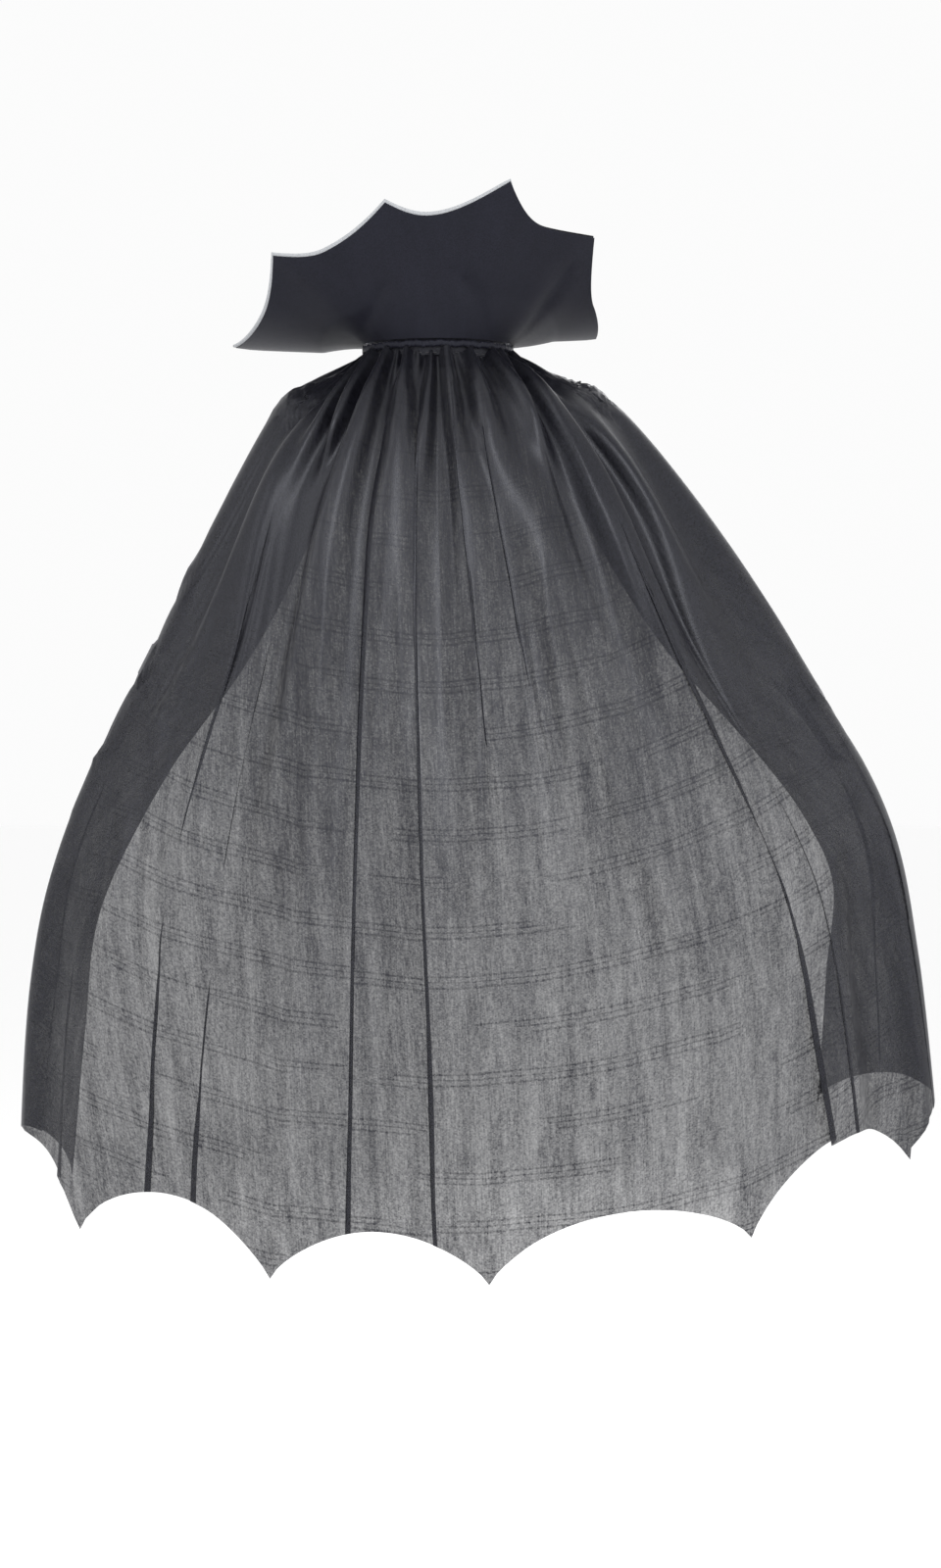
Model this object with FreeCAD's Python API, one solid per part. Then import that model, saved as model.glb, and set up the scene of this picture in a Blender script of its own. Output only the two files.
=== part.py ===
"""Child's bat-wing cape: a sheer gathered panel under a stiff stand-up collar.

+Z is up, +Y is the way the wearer faces and +X is the wearer's right.
The origin is the centre of the neck opening. All sizes are in millimetres.
The panel is modelled as it hangs when worn with the arms held out and down.
"""

import FreeCAD, Part
import math
import os
from FreeCAD import Vector

# Neck: a flat band in a C, open at the front, with everything else sewn to it.
NECK_R = 60.0
BAND_THICK = 2.0
BAND_HEIGHT = 20.0
BAND_END_DEG = 165.0
SEWN_END_DEG = 138.0
SEW_GAP = 0.6

# Rolled binding that hides the seam between collar and panel.
BINDING_R = 2.8
BINDING_OFFSET = 4.0

# Closure: a tab that bridges the front opening, held by hook and loop tape.
TAPE_THICK = 0.95
TAPE_GAP = 0.3
TAB_THICK = 1.0
TAB_HEIGHT = 16.0
TAPE_HEIGHT = 13.0
LOOP_ARC_DEG = (148.0, 164.0)
HOOK_ARC_DEG = (149.0, 163.0)
TAB_ARC_DEG = (147.0, 208.5)
ANCHOR_ARC_DEG = (209.0, 220.5)
GLUE = 0.05

# Cape panel: seven ribs that end at hem points, plus a rib along each arm.
PANEL_THICK = 1.0
SCALLOP_DEPTH = 50.0
COLUMNS_PER_SCALLOP = 9
PANEL_ROWS = 20
# Each rib runs down the cloth from the neck to the line through the hem points.
PANEL_RIBS = [
    (-1.0, [(-77, 66, -54), (-121, 62, -173), (-174, 52, -278), (-249, 48, -378),
            (-304, 48, -491), (-315, 46, -603), (-329, 42, -737)]),
    (-5 / 6, [(-113, 4, -33), (-145, 2, -54), (-208, 0, -171), (-276, 0, -311),
              (-331, 0, -438), (-355, -5, -560), (-365, -12, -752)]),
    (-2 / 3, [(-104, -40, -49), (-147, -55, -114), (-196, -57, -232), (-247, -58, -351),
              (-283, -62, -469), (-299, -66, -606), (-307, -70, -772)]),
    (-1 / 3, [(-68, -80, -62), (-92, -98, -156), (-108, -112, -303), (-120, -122, -448),
              (-129, -130, -583), (-136, -135, -698), (-141, -138, -806)]),
    (0.0, [(3, -88, -63), (7, -104, -157), (14, -118, -303), (24, -130, -448),
           (33, -140, -582), (40, -147, -702), (45, -152, -810)]),
    (1 / 3, [(77, -80, -57), (113, -98, -156), (156, -108, -293), (199, -115, -429),
             (236, -118, -554), (256, -120, -670), (270, -120, -773)]),
    (2 / 3, [(107, -40, -42), (163, -55, -104), (237, -58, -218), (310, -58, -331),
             (370, -57, -439), (395, -50, -562), (417, -42, -714)]),
    (5 / 6, [(112, 4, -26), (150, 2, -46), (226, 0, -140), (307, 0, -255),
             (388, 0, -400), (415, 0, -530), (430, -2, -705)]),
    (1.0, [(81, 66, -44), (128, 62, -135), (187, 52, -243), (302, 48, -376),
           (356, 48, -466), (349, 46, -562), (341, 42, -666)]),
]
PANEL_TOP_R = NECK_R + BAND_THICK + 1.2
PANEL_TOP_Z = -5.5

# Collar: six points, each (angle round the neck from the back, length, rise above level).
COLLAR_TIPS = [
    (-100.0, 118.0, 8.5),
    (-60.0, 127.0, 40.0),
    (-20.0, 130.0, 61.0),
    (25.0, 146.0, 55.5),
    (59.5, 117.0, 38.5),
    (103.0, 78.0, -2.0),
]
# Lowest places between the points, as (angle, length), from front end to front end.
COLLAR_VALLEYS = [
    (-138.0, 22.0),
    (-80.0, 96.0),
    (-46.0, 105.0),
    (-3.0, 113.0),
    (43.0, 109.0),
    (82.0, 75.0),
    (138.0, 22.0),
]
COLLAR_END_RISE = 25.0
COLLAR_TILT_DEG = 5.0
COLLAR_BASE_Z = 4.0
COLLAR_BASE_R = NECK_R + BAND_THICK + 5.0
COLUMNS_PER_EDGE = 6
COLLAR_ROWS = 6
FACE_THICK = 0.8
CORE_THICK = 2.4
CORE_PROUD = 3.0
CORE_LEAST_PROUD = 0.3
CORE_PROUD_TO_DEG = 30.0
LAYER_GAP = 0.15

# Stitches: short thread lengths that lie on the cloth.
STITCH_R = 0.4
STITCH_LENGTH = 4.0
STITCH_PITCH_DEG = 6.0


def ring_point(angle, radius, z):
    """A point at an angle round the neck: 0 is the back, +90 the wearer's right."""
    a = math.radians(angle)
    return Vector(radius * math.sin(a), -radius * math.cos(a), z)


def catmull(values, t):
    """Smooth curve through values, with t from 0 to 1 over the whole list."""
    spans = len(values) - 1
    at = min(max(t, 0.0), 1.0) * spans
    i = min(int(at), spans - 1)
    f = at - i
    p1 = values[i]
    p2 = values[i + 1]
    p0 = values[i - 1] if i > 0 else p1 * 2 - p2
    p3 = values[i + 2] if i + 2 <= spans else p2 * 2 - p1
    return (
        p1 * 2
        + (p2 - p0) * f
        + (p0 * 2 - p1 * 5 + p2 * 4 - p3) * f ** 2
        + (p1 * 3 - p0 - p2 * 3 + p3) * f ** 3
    ) * 0.5


def uneven(knots, values, x):
    """Monotone-safe cubic through values at uneven knots (Hermite with mean slopes)."""
    last = len(knots) - 1
    i = max(k for k in range(last) if knots[k] <= x or k == 0)
    span = knots[i + 1] - knots[i]
    f = min(max((x - knots[i]) / span, 0.0), 1.0)

    def slope(k):
        lo = max(k - 1, 0)
        hi = min(k + 1, last)
        return (values[hi] - values[lo]) * (1.0 / (knots[hi] - knots[lo]))

    h00 = 2 * f ** 3 - 3 * f ** 2 + 1
    h10 = f ** 3 - 2 * f ** 2 + f
    h01 = 3 * f ** 2 - 2 * f ** 3
    h11 = f ** 3 - f ** 2
    return (
        values[i] * h00
        + slope(i) * (h10 * span)
        + values[i + 1] * h01
        + slope(i + 1) * (h11 * span)
    )


def facet_solid(front, back):
    """A closed thin solid between two grids of points with the same rows and columns."""
    rows = len(front)
    cols = len(front[0])
    points = [p for row in front for p in row] + [p for row in back for p in row]
    offset = rows * cols
    facets = []
    for r in range(rows - 1):
        for c in range(cols - 1):
            a = r * cols + c
            b = a + 1
            d = a + cols
            e = d + 1
            facets += [(a, b, e), (a, e, d)]
            facets += [(offset + a, offset + e, offset + b)]
            facets += [(offset + a, offset + d, offset + e)]
    border = [c for c in range(cols)]
    border += [r * cols + cols - 1 for r in range(1, rows)]
    border += [(rows - 1) * cols + c for c in range(cols - 2, -1, -1)]
    border += [r * cols for r in range(rows - 2, 0, -1)]
    for i, a in enumerate(border):
        b = border[(i + 1) % len(border)]
        facets += [(b, a, offset + a), (b, offset + a, offset + b)]
    shell = Part.Shape()
    shell.makeShapeFromMesh((points, facets), 0.001)
    solid = Part.Solid(shell.Shells[0])
    if solid.Volume < 0:
        solid.reverse()
    return solid


def normals(grid):
    """Unit normal of a grid at each of its points."""
    rows = len(grid)
    cols = len(grid[0])
    out = []
    for r in range(rows):
        line = []
        for c in range(cols):
            down = grid[min(r + 1, rows - 1)][c] - grid[max(r - 1, 0)][c]
            along = grid[r][min(c + 1, cols - 1)] - grid[r][max(c - 1, 0)]
            n = down.cross(along)
            n.normalize()
            line.append(n)
        out.append(line)
    return out


def shifted(grid, distance):
    """The grid moved along its own normals."""
    directions = normals(grid)
    return [
        [p + n * distance for p, n in zip(row, line)]
        for row, line in zip(grid, directions)
    ]


def scallop(u):
    """How far the hem is cut away at u: 0 at each of the seven points, 1 between them."""
    across = (u + 1) * 3
    f = across - math.floor(across)
    return (4 * f * (1 - f)) ** 0.8


def panel_point(u, v):
    """A point of the panel: u from front edge -1 to front edge +1, v from neck 0 to hem 1."""
    knots = [rib[0] for rib in PANEL_RIBS]
    top = ring_point(u * SEWN_END_DEG, PANEL_TOP_R, PANEL_TOP_Z)
    along = []
    for level in range(len(PANEL_RIBS[0][1])):
        values = [Vector(*rib[1][level]) for rib in PANEL_RIBS]
        along.append(uneven(knots, values, u))
    path = [top] + along
    length = (path[-1] - path[-3]).Length
    reach = 2.0 / (len(path) - 1)
    kept = 1.0 - reach * SCALLOP_DEPTH * scallop(u) / length
    return catmull(path, v * kept)


def cape_panel():
    """Sheer panel: gathered on the neck, over the shoulders and arms, scalloped hem."""
    columns = COLUMNS_PER_SCALLOP * 6
    grid = []
    for r in range(PANEL_ROWS + 1):
        v = (r / PANEL_ROWS) ** 1.15
        grid.append([panel_point(-1 + 2 * c / columns, v) for c in range(columns + 1)])
    return facet_solid(shifted(grid, PANEL_THICK / 2), shifted(grid, -PANEL_THICK / 2))


def collar_edge():
    """Angles, lengths and rises along the collar's free edge, front end to front end."""
    edge = []
    for i, (valley, depth) in enumerate(COLLAR_VALLEYS):
        if i:
            tip, length, _ = COLLAR_TIPS[i - 1]
            for k in range(1, COLUMNS_PER_EDGE + 1):
                f = k / COLUMNS_PER_EDGE
                bow = 1 - (1 - f) ** 2
                edge.append((tip + (valley - tip) * f, length + (depth - length) * bow))
        else:
            edge.append((valley, depth))
        if i < len(COLLAR_TIPS):
            tip, length, _ = COLLAR_TIPS[i]
            for k in range(1, COLUMNS_PER_EDGE + 1):
                f = k / COLUMNS_PER_EDGE
                edge.append((valley + (tip - valley) * f, depth + (length - depth) * f ** 2))
    return edge


def collar_rise(angle):
    """How steeply the collar stands at an angle, in degrees above level."""
    knots = [-SEWN_END_DEG] + [t[0] for t in COLLAR_TIPS] + [SEWN_END_DEG]
    rises = [COLLAR_END_RISE] + [t[2] for t in COLLAR_TIPS] + [COLLAR_END_RISE]
    return uneven(knots, rises, angle)


def collar_grid(extra):
    """Outer surface of the collar. With extra, one more row runs past the cut edge."""
    tilt = math.tan(math.radians(COLLAR_TILT_DEG))
    edge = collar_edge()
    fractions = [r / COLLAR_ROWS for r in range(COLLAR_ROWS + 1)]
    if extra:
        fractions.append(None)
    grid = []
    for fraction in fractions:
        row = []
        for angle, length in edge:
            if fraction is None:
                s = length + (extra if angle < CORE_PROUD_TO_DEG else CORE_LEAST_PROUD)
            else:
                s = length * fraction
            rise = math.radians(collar_rise(angle))
            p = ring_point(angle, COLLAR_BASE_R + s * math.cos(rise), 0)
            lean = tilt * p.x * min(1.0, s / 40.0)
            p.z = COLLAR_BASE_Z + s * math.sin(rise) + lean
            row.append(p)
        grid.append(row)
    return grid


def collar_layer(start, thick, extra=0.0):
    """One layer of the collar, between two distances inward from its outer surface."""
    grid = collar_grid(extra)
    return facet_solid(shifted(grid, start), shifted(grid, start + thick))


def collar_face():
    """Outer woven layer, the side seen from behind."""
    return collar_layer(0.0, FACE_THICK)


def collar_core():
    """Stiff foam between the layers. Its edge shows past them on the left."""
    return collar_layer(FACE_THICK + LAYER_GAP, CORE_THICK, CORE_PROUD)


def collar_lining():
    """Inner woven layer, next to the wearer's head."""
    return collar_layer(FACE_THICK + CORE_THICK + 2 * LAYER_GAP, FACE_THICK)


def arc_strip(r_in, r_out, height, start, end):
    """A strip of flat tape bent round the neck, centred on the band's mid height."""
    middle = (start + end) / 2
    z = -height / 2
    corners = [
        Part.Arc(ring_point(start, r_out, z), ring_point(middle, r_out, z),
                 ring_point(end, r_out, z)).toShape(),
        Part.makeLine(ring_point(end, r_out, z), ring_point(end, r_in, z)),
        Part.Arc(ring_point(end, r_in, z), ring_point(middle, r_in, z),
                 ring_point(start, r_in, z)).toShape(),
        Part.makeLine(ring_point(start, r_in, z), ring_point(start, r_out, z)),
    ]
    return Part.Face(Part.Wire(corners)).extrude(Vector(0, 0, height))


def neck_band():
    """Flat band that carries the collar, the panel and the closure."""
    return arc_strip(NECK_R, NECK_R + BAND_THICK, BAND_HEIGHT, -BAND_END_DEG, BAND_END_DEG)


def neck_binding():
    """Round roll of cloth over the seam between collar and panel."""
    radius = NECK_R + BAND_THICK + BINDING_R + 0.1
    a = ring_point(-SEWN_END_DEG, radius, 0)
    b = ring_point(0, radius, 0)
    c = ring_point(SEWN_END_DEG, radius, 0)
    path = Part.Wire([Part.Arc(a, b, c).toShape()])
    tangent = ring_point(-SEWN_END_DEG + 90, 1, 0)
    profile = Part.Wire([Part.makeCircle(BINDING_R, a, tangent)])
    return path.makePipeShell([profile], True, False)


def tape_radii():
    """Inner radii of the loop tape, the hook tape and the tab, from the band outwards."""
    loop = NECK_R + BAND_THICK + GLUE
    hook = loop + TAPE_THICK + TAPE_GAP
    tab = hook + TAPE_THICK + GLUE
    return loop, hook, tab


def loop_strip():
    """Loop tape sewn to the outside of the band's right end."""
    r = tape_radii()[0]
    return arc_strip(r, r + TAPE_THICK, TAPE_HEIGHT, *LOOP_ARC_DEG)


def hook_strip():
    """Hook tape sewn under the tab's free end."""
    r = tape_radii()[1]
    return arc_strip(r, r + TAPE_THICK, TAPE_HEIGHT, *HOOK_ARC_DEG)


def closure_tab():
    """Free length of the tab, across the front opening."""
    r = tape_radii()[2]
    return arc_strip(r, r + TAB_THICK, TAB_HEIGHT, *TAB_ARC_DEG)


def tab_anchor():
    """Folded end of the tab, sewn down on the band's left end."""
    r = tape_radii()[0]
    return arc_strip(r, tape_radii()[2] + TAB_THICK, TAB_HEIGHT, *ANCHOR_ARC_DEG)


def thread(centre, direction, length):
    """One straight stitch, centred on a point."""
    d = Vector(direction)
    d.normalize()
    return Part.makeCylinder(STITCH_R, length, centre - d * (length / 2), d)


def neck_stitches():
    """Row of stitches low on the band, inside, where the panel is sewn on."""
    radius = NECK_R + BAND_THICK + STITCH_R + 0.05
    count = int(2 * (SEWN_END_DEG - 4) / STITCH_PITCH_DEG)
    stitches = []
    for i in range(count + 1):
        angle = -SEWN_END_DEG + 4 + i * STITCH_PITCH_DEG
        spot = ring_point(angle, radius + 0.04, -BAND_HEIGHT / 2 + 2)
        stitches.append(thread(spot, ring_point(angle + 90, 1, 0), STITCH_LENGTH))
    return Part.makeCompound(stitches)


def tab_stitches():
    """Box of stitches on the tab's sewn-down end."""
    radius = tape_radii()[2] + TAB_THICK + STITCH_R + 0.05
    start = ANCHOR_ARC_DEG[0] + 2.5
    end = ANCHOR_ARC_DEG[1] - 2.5
    half = TAB_HEIGHT / 2 - 2.5
    stitches = []
    for z in (-half, half):
        for angle in (start + 1, end - 1):
            spot = ring_point(angle, radius, z)
            stitches.append(thread(spot, ring_point(angle + 90, 1, 0), 3.2))
    for angle in (start - 1.2, end + 1.2):
        for z in (-half * 0.5, half * 0.5):
            stitches.append(thread(ring_point(angle, radius, z), Vector(0, 0, 1), 3.6))
    return Part.makeCompound(stitches)


PIECES = [
    cape_panel,
    collar_face,
    collar_core,
    collar_lining,
    neck_band,
    neck_binding,
    loop_strip,
    tab_anchor,
    closure_tab,
    hook_strip,
    neck_stitches,
    tab_stitches,
]

os.makedirs("parts", exist_ok=True)
for make in PIECES:
    shape = make()
    shape.exportStep(os.path.join("parts", make.__name__ + ".step"))
    box = shape.BoundBox
    print(make.__name__, round(shape.Volume), shape.isValid(),
          [round(n) for n in (box.XMin, box.YMin, box.ZMin, box.XMax, box.YMax, box.ZMax)])
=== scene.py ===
"""The looks of a child's bat-wing cape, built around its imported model.

Metres. +Z is up, +Y is the way the wearer faces, +X is the wearer's right, and the
origin is the centre of the neck opening.
"""

import math

import bmesh
import bpy
import numpy as np
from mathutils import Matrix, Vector


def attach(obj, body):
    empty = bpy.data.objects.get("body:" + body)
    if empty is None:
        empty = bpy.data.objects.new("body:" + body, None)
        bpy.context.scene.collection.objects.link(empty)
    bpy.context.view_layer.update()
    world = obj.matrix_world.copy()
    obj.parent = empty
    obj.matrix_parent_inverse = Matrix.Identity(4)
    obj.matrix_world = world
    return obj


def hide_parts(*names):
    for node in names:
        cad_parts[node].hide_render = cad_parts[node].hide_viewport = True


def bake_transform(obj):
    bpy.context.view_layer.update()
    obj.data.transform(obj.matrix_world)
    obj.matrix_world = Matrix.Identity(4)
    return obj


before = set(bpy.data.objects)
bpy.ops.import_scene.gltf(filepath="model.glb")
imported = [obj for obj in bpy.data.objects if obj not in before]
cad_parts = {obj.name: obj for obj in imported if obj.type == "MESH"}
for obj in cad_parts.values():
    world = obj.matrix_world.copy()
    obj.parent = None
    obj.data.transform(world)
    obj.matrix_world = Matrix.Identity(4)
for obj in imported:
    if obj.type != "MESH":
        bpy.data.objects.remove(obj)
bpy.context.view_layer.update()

MM = 0.001

# ---- view -------------------------------------------------------------------------
VIEW_HEIGHT = 1.392
VIEW_DISTANCE = 3.6
VIEW_CENTRE = (0.029, -0.3845)
FLOOR_Z = -1.046

# ---- neck, the same sizes as the CAD pieces ----------------------------------------------
NECK_R = 0.060
BAND_THICK = 0.002
BAND_HEIGHT = 0.020
BAND_END = 165.0
SEWN_END = 138.0
BINDING_R = 0.0028
TAPE_THICK = 0.00095
TAPE_GAP = 0.0003
TAPE_HEIGHT = 0.013
TAB_THICK = 0.0010
TAB_HEIGHT = 0.016
GLUE = 0.00005
LOOP_ARC = (148.0, 164.0)
HOOK_ARC = (149.0, 163.0)
TAB_ARC = (147.0, 208.5)
ANCHOR_ARC = (209.0, 220.5)
STITCH_R = 0.0004
STITCH_PITCH = 6.0

# ---- collar, the same shape as the CAD pieces ---------------------------------------------
# Each tip: angle round the neck from the back, length, rise above level.
COLLAR_TIPS = [
    (-100.0, 0.118, 8.5),
    (-60.0, 0.127, 40.0),
    (-20.0, 0.130, 61.0),
    (25.0, 0.146, 55.5),
    (59.5, 0.117, 38.5),
    (103.0, 0.078, -2.0),
]
COLLAR_VALLEYS = [
    (-138.0, 0.022),
    (-80.0, 0.096),
    (-46.0, 0.105),
    (-3.0, 0.113),
    (43.0, 0.109),
    (82.0, 0.075),
    (138.0, 0.022),
]
COLLAR_END_RISE = 25.0
COLLAR_TILT = math.tan(math.radians(5.0))
COLLAR_BASE_Z = 0.004
COLLAR_BASE_R = 0.067
COLLAR_COLUMNS = 16
COLLAR_ROWS = 44
FACE_THICK = 0.0008
CORE_THICK = 0.0024
LAYER_GAP = 0.00015
# How far inside the face and the lining their cloth lies.
CLOTH_SKIN = 0.0003
CORE_PROUD = 0.0031
CORE_PROUD_TO = 30.0
# Soft creases in the collar: angle and share of its height at each end, width, depth.
CREASES = [
    ((8.0, 0.52), (30.0, 0.06), 0.006, 0.0014),
    ((16.0, 0.40), (40.0, 0.02), 0.005, 0.0010),
    ((-30.0, 0.45), (-62.0, 0.05), 0.008, 0.0012),
    ((-6.0, 0.85), (-4.0, 0.10), 0.012, 0.0012),
    ((12.0, 0.80), (9.0, 0.15), 0.013, -0.0012),
    ((60.0, 0.70), (72.0, 0.10), 0.010, 0.0010),
]

# ---- cape panel ---------------------------------------------------------------------
PANEL_TOP_R = 0.0632
PANEL_TOP_Z = -0.0055
SCALLOPS = 6
SCALLOP_DEPTH = 0.050
# The cut panel: its width between the arms and in front of each arm, at neck and hem.
FLAT_TOP = 0.53
FLAT_HEM = 1.165
FRONT_TOP = 0.045
FRONT_HEM = 0.105
FRONT_CURVE = 0.20
FLAT_LENGTH = 0.86
ARM_AT = 5 / 6
COLUMNS_PER_SCALLOP = 52
ROWS = 112
# Soft gathers: how many across the panel, how far down they are deepest, and over what span.
GATHERS = [
    (27, 0.00, 0.08),
    (15, 0.12, 0.13),
    (9, 0.36, 0.26),
    (7, 0.90, 0.40),
]
SEED = 11
# Narrow pleats in the hanging cloth: place across, share of the spare width that it
# takes between two ribs, how far down it starts, and sideways lean.
PLEATS = [
    (-0.90, 0.30, 0.45, 0.00),
    (-0.74, 0.30, 0.50, 0.01),
    (-0.555, 0.46, 0.30, 0.00),
    (-0.475, 0.34, 0.36, 0.01),
    (-0.22, 0.34, 0.10, 0.00),
    (-0.09, 0.30, 0.04, 0.01),
    (0.05, 0.30, 0.04, 0.02),
    (0.16, 0.30, 0.12, 0.00),
    (0.487, 0.66, 0.28, 0.01),
    (0.56, 0.22, 0.34, 0.00),
    (0.745, 0.30, 0.45, 0.00),
    (0.90, 0.30, 0.45, 0.00),
]
PLEAT_GAP = 0.0035
GATHER_TAKE = 0.75
GATHER_DEPTH = 0.010
# How dense the cloth looks: what its spare width adds, and what is added near the neck.
SLACK_DENSITY = 0.8
NECK_DENSITY = 2.3
NECK_DENSITY_FADE = 0.42
PANEL_RIBS = [
    (-1.0, [(-77, 66, -54), (-121, 62, -173), (-174, 52, -278), (-249, 48, -378),
            (-304, 48, -491), (-315, 46, -603), (-329, 42, -737)]),
    (-5 / 6, [(-113, 4, -33), (-145, 2, -54), (-208, 0, -171), (-276, 0, -311),
              (-331, 0, -438), (-355, -5, -560), (-365, -12, -752)]),
    (-2 / 3, [(-104, -40, -49), (-147, -55, -114), (-196, -57, -232), (-247, -58, -351),
              (-283, -62, -469), (-299, -66, -606), (-307, -70, -772)]),
    (-1 / 3, [(-68, -80, -62), (-92, -98, -156), (-108, -112, -303), (-120, -122, -448),
              (-129, -130, -583), (-136, -135, -698), (-141, -138, -806)]),
    (0.0, [(3, -88, -63), (7, -104, -157), (14, -118, -303), (24, -130, -448),
           (33, -140, -582), (40, -147, -702), (45, -152, -810)]),
    (1 / 3, [(77, -80, -57), (113, -98, -156), (156, -108, -293), (199, -115, -429),
             (236, -118, -554), (256, -120, -670), (270, -120, -773)]),
    (2 / 3, [(107, -40, -42), (163, -55, -104), (237, -58, -218), (310, -58, -331),
             (370, -57, -439), (395, -50, -562), (417, -42, -714)]),
    (5 / 6, [(112, 4, -26), (150, 2, -46), (226, 0, -140), (307, 0, -255),
             (388, 0, -400), (415, 0, -530), (430, -2, -705)]),
    (1.0, [(81, 66, -44), (128, 62, -135), (187, 52, -243), (302, 48, -376),
           (356, 48, -466), (349, 46, -562), (341, 42, -666)]),
]


# ---- small helpers --------------------------------------------------------------------
def mesh_object(name, points, faces, smooth=True):
    mesh = bpy.data.meshes.new(name)
    mesh.from_pydata([tuple(p) for p in points], [], [tuple(f) for f in faces])
    mesh.validate()
    obj = bpy.data.objects.new(name, mesh)
    bpy.context.scene.collection.objects.link(obj)
    if smooth:
        mesh.polygons.foreach_set("use_smooth", [True] * len(mesh.polygons))
    return obj


def grid_faces(rows, cols):
    """Quads of a grid of points stored row by row."""
    return [
        (r * cols + c, r * cols + c + 1, (r + 1) * cols + c + 1, (r + 1) * cols + c)
        for r in range(rows - 1)
        for c in range(cols - 1)
    ]


def ring_point(angle, radius, z):
    a = math.radians(angle)
    return Vector((radius * math.sin(a), -radius * math.cos(a), z))


def hermite(knots, values, x):
    """Cubic through values at uneven knots, with mean slopes. Values are numpy arrays."""
    x = np.clip(x, knots[0], knots[-1])
    i = int(np.clip(np.searchsorted(knots, x, side="right") - 1, 0, len(knots) - 2))
    span = knots[i + 1] - knots[i]
    f = (x - knots[i]) / span

    def slope(k):
        lo = max(k - 1, 0)
        hi = min(k + 1, len(knots) - 1)
        return (values[hi] - values[lo]) / (knots[hi] - knots[lo])

    return (
        values[i] * (2 * f ** 3 - 3 * f ** 2 + 1)
        + slope(i) * span * (f ** 3 - 2 * f ** 2 + f)
        + values[i + 1] * (3 * f ** 2 - 2 * f ** 3)
        + slope(i + 1) * span * (f ** 3 - f ** 2)
    )


def catmull(path, t):
    """Points at each t of an evenly stepped Catmull-Rom curve through path."""
    spans = len(path) - 1
    at = np.clip(t, 0, 1) * spans
    i = np.minimum(at.astype(int), spans - 1)
    f = (at - i)[:, None]
    padded = np.vstack([2 * path[0] - path[1], path, 2 * path[-1] - path[-2]])
    p0 = padded[i]
    p1 = padded[i + 1]
    p2 = padded[i + 2]
    p3 = padded[i + 3]
    return 0.5 * (
        2 * p1
        + (p2 - p0) * f
        + (2 * p0 - 5 * p1 + 4 * p2 - p3) * f ** 2
        + (3 * p1 - p0 - 3 * p2 + p3) * f ** 3
    )


def grid_object(name, grid, uv, material, body, slot, *nodes):
    """An open sheet from a grid of points, with its place on the cloth as UVs."""
    rows, cols = grid.shape[:2]
    obj = mesh_object(name, grid.reshape(-1, 3), grid_faces(rows, cols))
    finish_piece(obj, uv.reshape(-1, 2), material, body, slot, *nodes)
    return obj


def finish_piece(obj, uv, material, body, slot, *nodes):
    """Gives a piece its UVs, material and body. The UVs are one pair per vertex."""
    layer = obj.data.uv_layers.new(name="flat")
    index = np.zeros(len(obj.data.loops), int)
    obj.data.loops.foreach_get("vertex_index", index)
    layer.data.foreach_set("uv", uv[index].ravel())
    obj.data.materials.append(material)
    if body:
        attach(obj, body)
    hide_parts(*nodes)


def slab(name, middle, normal, uv, thick, rounding, material, body, slot, *nodes):
    """A closed slab around a grid on its middle surface, thinner towards a rounded edge."""
    rows, cols = middle.shape[:2]
    across = np.minimum(np.arange(cols), np.arange(cols)[::-1])
    down = np.minimum(np.arange(rows), np.arange(rows)[::-1])
    edge = edge_distance(middle)
    share = np.clip(edge / rounding, 0, 1)
    half = thick / 2 * np.sqrt(np.maximum(1 - (1 - share) ** 2, 0))
    border = (across[None, :] == 0) | (down[:, None] == 0)
    front = middle + normal * half[:, :, None]
    back = middle - normal * half[:, :, None]
    count = rows * cols
    points = np.vstack([front.reshape(-1, 3), back.reshape(-1, 3)])
    second = np.arange(count) + count
    second[border.ravel()] = np.arange(count)[border.ravel()]
    faces = grid_faces(rows, cols)
    faces += [tuple(int(second[i]) for i in reversed(face)) for face in grid_faces(rows, cols)]
    obj = mesh_object(name, points, faces)
    mesh = bmesh.new()
    mesh.from_mesh(obj.data)
    loose = [vert for vert in mesh.verts if not vert.link_faces]
    pairs = np.vstack([uv.reshape(-1, 2)] * 2)
    kept = np.array([vert.index for vert in mesh.verts if vert.link_faces])
    bmesh.ops.delete(mesh, geom=loose, context="VERTS")
    mesh.to_mesh(obj.data)
    mesh.free()
    finish_piece(obj, pairs[kept], material, body, slot, *nodes)
    return obj


def edge_distance(grid):
    """How far each point of a grid is from the grid's nearest edge."""
    along = np.linalg.norm(np.diff(grid, axis=1), axis=2)
    along = np.hstack([np.zeros((len(grid), 1)), np.cumsum(along, axis=1)])
    down = np.linalg.norm(np.diff(grid, axis=0), axis=2)
    down = np.vstack([np.zeros((1, grid.shape[1])), np.cumsum(down, axis=0)])
    return np.minimum.reduce([along, along[:, -1:] - along, down, down[-1:] - down])


def smoothstep(x):
    x = np.clip(x, 0, 1)
    return x * x * (3 - 2 * x)


def ring_grid(angles, radius, heights):
    """Points round the neck and their outward normals. Radius may be an array."""
    a = np.radians(angles)[None, :]
    z = np.asarray(heights)[:, None]
    r = np.broadcast_to(radius, (len(heights), len(angles)))
    grid = np.dstack([r * np.sin(a), -r * np.cos(a), np.broadcast_to(z, r.shape)])
    out = np.dstack([np.sin(a) + 0 * z, -np.cos(a) + 0 * z, 0 * a + 0 * z])
    return grid, out


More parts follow.
